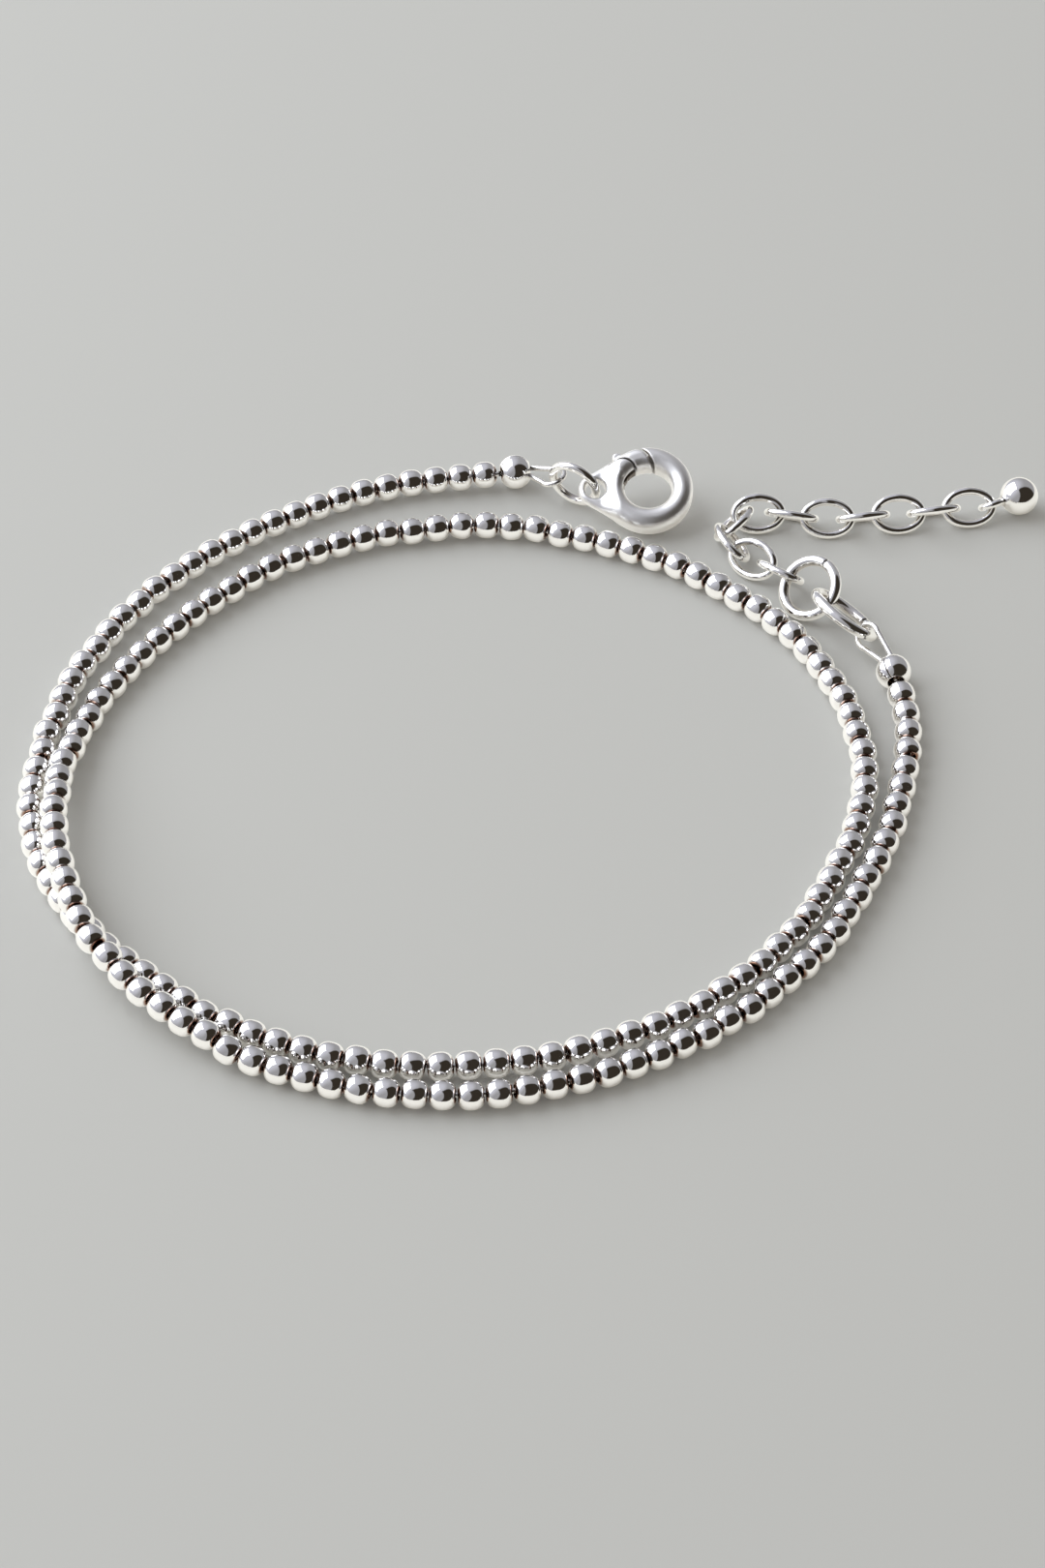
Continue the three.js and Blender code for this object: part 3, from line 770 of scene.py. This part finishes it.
ball_tucked = SOLDER_TARNISH * np.exp(-np.abs(ball_points[:, 0] + BALL_RADIUS) / SOLDER_REACH)
ball_placed = ball_centre + ball_points @ ball_axes
add_piece("ball", ball_placed, ball_faces.tolist(), ball_tucked, ball_silver, node="end_ball")

# The clasp's hook. It is cast in silver in one piece: a claw bent round a hole, two cheeks with a slot
# between them for the lever, and a flat tail with an eye for the jump ring. A pin is riveted through the
# cheeks.
CLASP_PLACE = np.array((7.73, 27.26, 2.22))
CLASP_TILT = math.radians(24)
CLASP_HALF_THICKNESS = 1.1
CLASP_ROUNDING = 0.8
THIN_ROUNDING_SHARE = 0.9
CLAW_RADIUS = 3.3
CLAW_HOLE = (1.75, 1.6)
CLAW_EDGE_BLEND = 0.35
TAIL_X = -3.9
TAIL_RADIUS = 1.25
TAIL_EYE_RADIUS = 0.75
TAIL_EYE_EDGE = 0.28
TAIL_HALF_THICKNESS = 0.5
TAIL_TAPER = (-3.6, -2.0)
PIVOT = (-2.1, 1.0)
CHEEK_RADIUS = 1.2
BEAK_REACH = 2.62
GATE_ANGLES = (-20, 112)
GATE_RIGHT_X = 0.0
SLOT_HALF_WIDTH = 0.62
SLOT_ROOT_RADIUS = 0.74
SLOT_REACH = 4.0
SLOT_ANGLES = (-45, 112)
WELL_OUTSIDE = 1.0
PIN_RADIUS = 0.22
RIVET_RADIUS = 0.36
RIVET_PROUD = 0.07
RIVET_DEPTH = 0.1
CAST_EDGE = 0.14
GAP_TARNISH_REACH = 0.1
GATE_MARGIN = 0.1
CLASP_GRID = ((-5.5, -3.6, -1.4), (3.6, 3.6, 1.4))
CLASP_SKIN_STEP = 0.065


def clasp_outline(x, y):
    """Distance in plan to the claw's ring and the tail: a band drawn round a large and a small circle."""
    toward_tail, aside = -x, np.abs(y)
    lean = (CLAW_RADIUS - TAIL_RADIUS) / -TAIL_X
    rise = math.sqrt(1 - lean * lean)
    place = -lean * aside + rise * toward_tail
    outline = rise * aside + lean * toward_tail - CLAW_RADIUS
    outline = np.where(place < 0, np.hypot(x, y) - CLAW_RADIUS, outline)
    outline = np.where(place > rise * -TAIL_X, np.hypot(x - TAIL_X, y) - TAIL_RADIUS, outline)
    hole = (np.hypot(x / CLAW_HOLE[0], y / CLAW_HOLE[1]) - 1) * CLAW_HOLE[1]
    return smooth_cut(outline, -hole, CLAW_EDGE_BLEND)


def pillowed(plan, z, half_thickness, rounding):
    """Distance to a slab with that plan, its edges rounded over."""
    outward, upward = plan + rounding, np.abs(z) - half_thickness + rounding
    within = np.minimum(np.maximum(outward, upward), 0)
    return within + np.hypot(np.maximum(outward, 0), np.maximum(upward, 0)) - rounding


def gate_sector(x, y, inner, outer, angles):
    """Distance in plan to the part of a ring about the lever's pivot between two angles."""
    x, y = x - PIVOT[0], y - PIVOT[1]
    reach = np.hypot(x, y)
    start, end = np.radians(angles)
    before = x * math.sin(start) - y * math.cos(start)
    after = y * math.cos(end) - x * math.sin(end)
    return np.maximum.reduce([inner - reach, reach - outer, before, after])


def clasp_half_thickness(x):
    """Half the clasp's thickness, which tapers from the claw to the tail."""
    share = np.clip((x - TAIL_TAPER[0]) / (TAIL_TAPER[1] - TAIL_TAPER[0]), 0, 1)
    swell = share * share * (3 - 2 * share)
    return TAIL_HALF_THICKNESS + (CLASP_HALF_THICKNESS - TAIL_HALF_THICKNESS) * swell


def hook_distance(point):
    """Distance to the hook, with the clasp's face in the plane of x and y and the tail on -x."""
    x, y, z = np.moveaxis(point, -1, 0)
    half = clasp_half_thickness(x)
    rounding = np.minimum(CLASP_ROUNDING, half * THIN_ROUNDING_SHARE)
    blank = pillowed(clasp_outline(x, y), z, half, rounding)
    gate = gate_sector(x, y, CHEEK_RADIUS, BEAK_REACH, GATE_ANGLES)
    hook = smooth_cut(blank, -gate, CAST_EDGE)
    from_pin = np.hypot(x - PIVOT[0], y - PIVOT[1])
    swing = np.where(x < GATE_RIGHT_X, gate_sector(x, y, 0, SLOT_REACH, SLOT_ANGLES), WELL_OUTSIDE)
    slot = np.maximum(np.minimum(from_pin - SLOT_ROOT_RADIUS, swing), np.abs(z) - SLOT_HALF_WIDTH)
    hook = smooth_cut(hook, -slot, CAST_EDGE)
    tail_eye = np.hypot(x - TAIL_X, y) - TAIL_EYE_RADIUS
    hook = smooth_cut(hook, -tail_eye, TAIL_EYE_EDGE)
    pin = np.maximum(from_pin - PIN_RADIUS, np.abs(z) - SLOT_HALF_WIDTH - RIVET_DEPTH)
    crown = RIVET_PROUD * (1 - np.minimum((from_pin / RIVET_RADIUS) ** 2, 1))
    rivet = np.maximum.reduce([from_pin - RIVET_RADIUS, blank - crown, SLOT_HALF_WIDTH - np.abs(z)])
    return np.minimum.reduce([hook, pin, rivet])


clasp_silver = silver(
    "clasp silver",
    clean=(0.97, 0.955, 0.93),
    tarnish_and_shade_colour=(0.14, 0.11, 0.085),
    brightest=0.36,
    dullest=0.46,
    wave_scale=350,
    bump_depth=0.02,
)


def cast_piece(name, node, distance, body):
    """Part of the clasp, cast to a distance drawn with the clasp flat, then turned as the clasp lies."""
    points, faces = skin_of(distance, *CLASP_GRID, CLASP_SKIN_STEP)
    x, y, z = points.T
    from_pin = np.hypot(x - PIVOT[0], y - PIVOT[1])
    to_gap = np.minimum(np.abs(from_pin - CHEEK_RADIUS), np.abs(from_pin - BEAK_REACH))
    by_gate = gate_sector(x, y, 0, SLOT_REACH, GATE_ANGLES) < GATE_MARGIN
    slot_depth = np.minimum(SLOT_HALF_WIDTH, clasp_half_thickness(x) - CAST_EDGE)
    in_slot = (np.abs(z) < slot_depth) & (from_pin < CHEEK_RADIUS)
    tucked = np.maximum(np.exp(-to_gap / GAP_TARNISH_REACH) * by_gate, in_slot)
    level, rise = math.cos(CLASP_TILT), math.sin(CLASP_TILT)
    directions = np.array(((1, 0, 0), (0, level, rise), (0, -rise, level)))
    placed = CLASP_PLACE + points @ directions
    add_piece(name, placed, faces.tolist(), tucked, clasp_silver, body, node)


cast_piece("hook", "clasp_body", hook_distance, "bracelet")

# The clasp's lever. A small cast arm turns on the pin between the cheeks. Its thick outer bar closes the
# claw's mouth against the beak, pushed shut by a hidden leaf spring, and its tab takes the thumbnail.
LEVER_HALF_THICKNESS = 0.4
LEVER_ROOT_RADIUS = 0.62
LEVER_REACH = 2.47
LEVER_ANGLES = (-5, 100)
BAR_FROM_PIVOT = 1.33
BAR_INSET = 0.1
BAR_ROUNDING = 0.7
PIN_HOLE_RADIUS = 0.3
PIN_HOLE_EDGE = 0.05
TAB_ANGLE = math.radians(96)
TAB_DISTANCE = 1.55
TAB_RADIUS = 0.36
tab_x = PIVOT[0] + TAB_DISTANCE * math.cos(TAB_ANGLE)
tab_y = PIVOT[1] + TAB_DISTANCE * math.sin(TAB_ANGLE)


def lever_distance(point):
    """Distance to the lever, in the hook's directions."""
    x, y, z = np.moveaxis(point, -1, 0)
    plan = clasp_outline(x, y)
    bar = pillowed(plan, z, clasp_half_thickness(x) - BAR_INSET, BAR_ROUNDING)
    bar = smooth_cut(bar, gate_sector(x, y, BAR_FROM_PIVOT, LEVER_REACH, LEVER_ANGLES), CAST_EDGE)
    from_pin = np.hypot(x - PIVOT[0], y - PIVOT[1])
    arm = np.maximum(plan, gate_sector(x, y, 0, LEVER_REACH, LEVER_ANGLES))
    tab = np.hypot(x - tab_x, y - tab_y) - TAB_RADIUS
    arm = np.minimum.reduce([arm, from_pin - LEVER_ROOT_RADIUS, tab])
    arm = smooth_cut(arm, np.abs(z) - LEVER_HALF_THICKNESS, CAST_EDGE)
    return smooth_cut(smooth_join(bar, arm, CAST_EDGE), PIN_HOLE_RADIUS - from_pin, PIN_HOLE_EDGE)


cast_piece("lever", "clasp_lever", lever_distance, "lever")

# The floor and the light. The bracelet lies on a plain pale floor, with one large soft light to its left
# and an even fill all round. In the silver the floor is painted brighter than it looks, a painted sheen.
# Only the silver mirrors a grey room, with a glow about the light and a dark patch to the viewer's right,
# cut straight on its lit side, which give it depth.
FLOOR_HALF_SIZE = 3000.0
FLOOR_BELOW = 0.02
FLOOR_ROUGHNESS = 0.6
FLOOR_SPECULAR = 0.3
FLOOR_COLOUR = (0.54, 0.535, 0.515)
# Floor colour seen only in the silver: a painted sheen, brighter than the floor itself.
FLOOR_PAINTED_SHEEN = (0.98, 0.96, 0.91)
SOFTBOX_DIRECTION = Vector((-0.74, 0.33, 0.58)).normalized()
SOFTBOX_TURN = math.radians(35)
SOFTBOX_DISTANCE = 600.0
SOFTBOX_SIZE = 700.0
SOFTBOX_POWER = 4.05
SOFTBOX_COLOUR = (0.9, 0.95, 1.0)
ROOM_COLOUR = (0.32, 0.32, 0.34)
GLOW_COLOUR = (0.62, 0.63, 0.72)
GLOW_EDGE = (0.25, 0.95)
DARK_COLOUR = (0.032, 0.026, 0.02)
DARK_DIRECTION = (0.56, -0.72, 0.41)
DARK_EDGE = (0.4, 0.52)
LIT_DIRECTION = (-0.82, -0.42, 0.39)
LIT_EDGE = (0.62, 0.54)
FILL_COLOUR = (0.575, 0.565, 0.545)

floor_corners = FLOOR_HALF_SIZE * np.array(((-1, -1, 0), (1, -1, 0), (1, 1, 0), (-1, 1, 0)))
floor_corners = floor_corners - FLOOR_BELOW * UP
floor_mesh = bpy.data.meshes.new("floor")
floor_mesh.from_pydata((floor_corners * MM).tolist(), [], [(0, 1, 2, 3)])
floor_material = bpy.data.materials.new("pale floor")
floor_material.use_nodes = True
floor_tree = floor_material.node_tree
floor_shader = floor_tree.nodes["Principled BSDF"]
# In the silver's reflections the floor is painted brighter: a painted sheen.
floor_in_silver = floor_tree.nodes.new("ShaderNodeLightPath").outputs["Is Glossy Ray"]
floor_colour = mixed(floor_tree, floor_in_silver, (*FLOOR_COLOUR, 1), (*FLOOR_PAINTED_SHEEN, 1))
floor_tree.links.new(floor_colour, floor_shader.inputs["Base Color"])
floor_shader.inputs["Roughness"].default_value = FLOOR_ROUGHNESS
floor_shader.inputs["Specular IOR Level"].default_value = FLOOR_SPECULAR
floor_mesh.materials.append(floor_material)
floor = bpy.data.objects.new("floor", floor_mesh)
bpy.context.scene.collection.objects.link(floor)

softbox_data = bpy.data.lights.new("softbox", "AREA")
softbox_data.shape = "SQUARE"
softbox_data.size = SOFTBOX_SIZE * MM
softbox_data.energy = SOFTBOX_POWER
softbox_data.color = SOFTBOX_COLOUR
softbox = bpy.data.objects.new("softbox", softbox_data)
softbox.location = SOFTBOX_DIRECTION * SOFTBOX_DISTANCE * MM
softbox.rotation_euler = (
    SOFTBOX_DIRECTION.to_track_quat("Z", "Y") @ Quaternion((0, 0, 1), SOFTBOX_TURN)
).to_euler()
softbox.visible_camera = False
bpy.context.scene.collection.objects.link(softbox)

room = bpy.data.worlds.new("room")
room.use_nodes = True
bpy.context.scene.world = room
sky = room.node_tree
toward = sky.nodes.new("ShaderNodeTexCoord").outputs["Generated"]


def toward_share(direction, edge):
    """How far a part of the room lies within a cone about a direction: 0 at the edge's first cosine and 1
    at its second."""
    facing = add_node(sky, "ShaderNodeVectorMath", {"operation": "DOT_PRODUCT"}, {0: toward, 1: direction})
    share = add_node(
        sky,
        "ShaderNodeMapRange",
        {"interpolation_type": "SMOOTHSTEP"},
        {"Value": facing.outputs["Value"], "From Min": edge[0], "From Max": edge[1]},
    )
    return share.outputs["Result"]


dark_share = add_node(
    sky,
    "ShaderNodeMath",
    {"operation": "MULTIPLY"},
    {0: toward_share(DARK_DIRECTION, DARK_EDGE), 1: toward_share(LIT_DIRECTION, LIT_EDGE)},
)
glow_share = toward_share(SOFTBOX_DIRECTION, GLOW_EDGE)
lit_room = mixed(sky, glow_share, (*ROOM_COLOUR, 1), (*GLOW_COLOUR, 1))
room_in_silver = mixed(sky, dark_share.outputs["Value"], lit_room, (*DARK_COLOUR, 1))
on_silver = sky.nodes.new("ShaderNodeLightPath").outputs["Is Glossy Ray"]
room_colour = mixed(sky, on_silver, (*FILL_COLOUR, 1), room_in_silver)
sky.links.new(room_colour, sky.nodes["Background"].inputs["Color"])
bpy.context.scene.view_settings.view_transform = "Standard"
